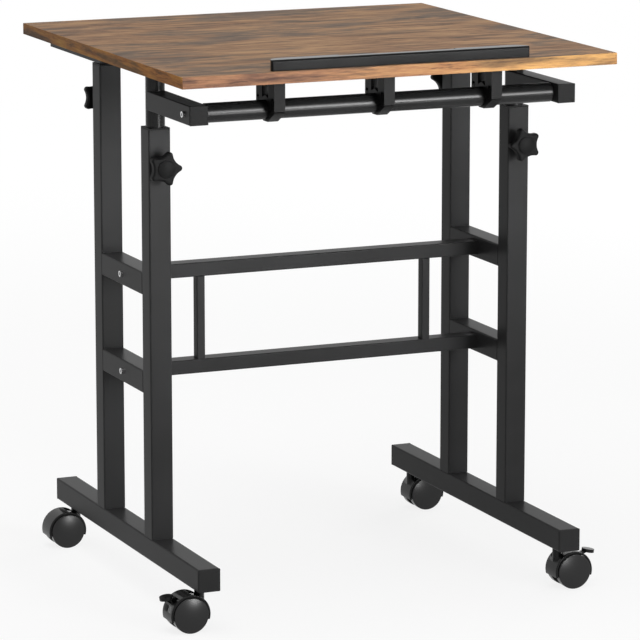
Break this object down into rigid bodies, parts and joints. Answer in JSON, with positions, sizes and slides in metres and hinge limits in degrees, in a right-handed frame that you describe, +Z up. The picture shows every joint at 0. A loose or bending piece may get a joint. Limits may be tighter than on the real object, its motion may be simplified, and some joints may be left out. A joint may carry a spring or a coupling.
{
  "type": "mobile sit-stand desk",
  "caption": "Small sit-stand desk on casters: a tilting wooden top with a book stop, on hand-raised telescopic tubes held by clamp knobs, over a square tube frame.",
  "frame": {"origin": "on the floor, under the middle of the desk's outline", "axes": "+Z up, +X to the right of a user who sits at the book stop, -Y towards that user"},
  "size_m": [0.621, 0.6, 0.7365],
  "materials": {
    "rustic_board": "matt rustic wood print",
    "stop_plastic": "satin",
    "moulded_plastic": "satin",
    "powder_coat": "satin powder coat",
    "tube_gloss": "semi-gloss paint",
    "zinc": "bright zinc plate",
    "stem_steel": "blackened steel",
    "knob_plastic": "matt",
    "hood_plastic": "semi-gloss",
    "wheel_nylon": "satin nylon"
  },
  "bodies": {
    "base": {"left_foot": "powder_coat", "right_foot": "powder_coat", "foot_end_caps": "moulded_plastic", "front_left_column": "powder_coat", "front_right_column": "powder_coat", "rear_left_column": "powder_coat", "rear_right_column": "powder_coat", "column_bushes": "moulded_plastic", "clamp_nuts": "powder_coat", "left_side_bars": "powder_coat", "right_side_bars": "powder_coat", "upper_cross_bar": "powder_coat", "lower_cross_bar": "powder_coat", "left_strut": "powder_coat", "right_strut": "powder_coat", "cross_bar_bolts": "zinc", "caster_sockets": "moulded_plastic", "caster_stems": "stem_steel"},
    "front_carriage": {"left_front_tube": "tube_gloss", "right_front_tube": "tube_gloss", "front_tube_glides": "moulded_plastic", "front_tube_caps": "moulded_plastic", "left_arm": "powder_coat", "right_arm": "powder_coat", "arm_end_caps": "moulded_plastic", "front_cross_tube": "tube_gloss", "cross_tube_washers": "moulded_plastic", "cross_tube_bolts": "zinc"},
    "rear_carriage": {"left_rear_tube": "tube_gloss", "right_rear_tube": "tube_gloss", "rear_tube_glides": "moulded_plastic", "rear_tube_heads": "powder_coat", "rear_rail_pins": "zinc"},
    "desktop": {"desktop_board": "rustic_board", "book_stop": "stop_plastic", "left_saddle": "moulded_plastic", "middle_saddle": "moulded_plastic", "right_saddle": "moulded_plastic", "saddle_clamps": "moulded_plastic", "left_slide_rail": "powder_coat", "right_slide_rail": "powder_coat", "board_screws": "zinc"},
    "front_left_knob": {"front_left_knob": "knob_plastic"},
    "front_right_knob": {"front_right_knob": "knob_plastic"},
    "rear_left_knob": {"rear_left_knob": "knob_plastic"},
    "rear_right_knob": {"rear_right_knob": "knob_plastic"},
    "front_left_caster": {"front_left_hood": "hood_plastic"},
    "front_left_wheelset": {"front_left_axle": "zinc", "front_left_wheels": "wheel_nylon"},
    "front_right_caster": {"front_right_hood": "hood_plastic"},
    "front_right_wheelset": {"front_right_axle": "zinc", "front_right_wheels": "wheel_nylon"},
    "rear_left_caster": {"rear_left_hood": "hood_plastic"},
    "rear_left_wheelset": {"rear_left_axle": "zinc", "rear_left_wheels": "wheel_nylon"},
    "rear_right_caster": {"rear_right_hood": "hood_plastic"},
    "rear_right_wheelset": {"rear_right_axle": "zinc", "rear_right_wheels": "wheel_nylon"},
    "left_brake": {"left_brake_lever": "hood_plastic"},
    "right_brake": {"right_brake_lever": "hood_plastic"}
  },
  "joints": [
    {"name": "height", "type": "slide", "parent": "base", "child": "front_carriage", "axis": [0, 0, 1], "range_m": [0, 0.38]},
    {"name": "tilt", "type": "hinge", "parent": "front_carriage", "child": "desktop", "pos_m": [0, -0.223, 0.665], "axis": [1, 0, 0], "range_deg": [0, 20]},
    {"name": "rear_slide", "type": "slide", "parent": "front_carriage", "child": "rear_carriage", "axis": [0, 0, 1], "range_m": [0, 0.115]},
    {"name": "front_left_knob_turn", "type": "hinge", "parent": "base", "child": "front_left_knob", "pos_m": [-0.256, -0.11, 0.5805], "axis": [0, -1, 0], "range_deg": [0, 360]},
    {"name": "front_right_knob_turn", "type": "hinge", "parent": "base", "child": "front_right_knob", "pos_m": [0.256, -0.11, 0.5805], "axis": [0, -1, 0], "range_deg": [0, 360]},
    {"name": "rear_left_knob_turn", "type": "hinge", "parent": "base", "child": "rear_left_knob", "pos_m": [-0.256, 0.11, 0.641], "axis": [0, 1, 0], "range_deg": [0, 360]},
    {"name": "rear_right_knob_turn", "type": "hinge", "parent": "base", "child": "rear_right_knob", "pos_m": [0.256, 0.11, 0.641], "axis": [0, 1, 0], "range_deg": [0, 360]},
    {"name": "front_left_caster_swivel", "type": "hinge", "parent": "base", "child": "front_left_caster", "pos_m": [-0.256, -0.2335, 0.0555], "axis": [0, 0, 1], "continuous": true},
    {"name": "front_left_wheel_spin", "type": "hinge", "parent": "front_left_caster", "child": "front_left_wheelset", "pos_m": [-0.2735, -0.2335, 0.0235], "axis": [0, 1, 0], "continuous": true},
    {"name": "front_right_caster_swivel", "type": "hinge", "parent": "base", "child": "front_right_caster", "pos_m": [0.256, -0.2335, 0.0555], "axis": [0, 0, 1], "continuous": true},
    {"name": "front_right_wheel_spin", "type": "hinge", "parent": "front_right_caster", "child": "front_right_wheelset", "pos_m": [0.2735, -0.2335, 0.0235], "axis": [0, 1, 0], "continuous": true},
    {"name": "rear_left_caster_swivel", "type": "hinge", "parent": "base", "child": "rear_left_caster", "pos_m": [-0.256, 0.2335, 0.0555], "axis": [0, 0, 1], "continuous": true},
    {"name": "rear_left_wheel_spin", "type": "hinge", "parent": "rear_left_caster", "child": "rear_left_wheelset", "pos_m": [-0.2735, 0.2335, 0.0235], "axis": [0, 1, 0], "continuous": true},
    {"name": "rear_right_caster_swivel", "type": "hinge", "parent": "base", "child": "rear_right_caster", "pos_m": [0.256, 0.2335, 0.0555], "axis": [0, 0, 1], "continuous": true},
    {"name": "rear_right_wheel_spin", "type": "hinge", "parent": "rear_right_caster", "child": "rear_right_wheelset", "pos_m": [0.2735, 0.2335, 0.0235], "axis": [0, 1, 0], "continuous": true},
    {"name": "left_brake_press", "type": "hinge", "parent": "front_left_caster", "child": "left_brake", "pos_m": [-0.2815, -0.2335, 0.0415], "axis": [0, -1, 0], "range_deg": [0, 15]},
    {"name": "right_brake_press", "type": "hinge", "parent": "front_right_caster", "child": "right_brake", "pos_m": [0.2815, -0.2335, 0.0415], "axis": [0, 1, 0], "range_deg": [0, 15]}
  ],
  "couplings": [
    {"joint": "rear_slide", "follows": "tilt", "m_per_rad": 0.3237}
  ]
}
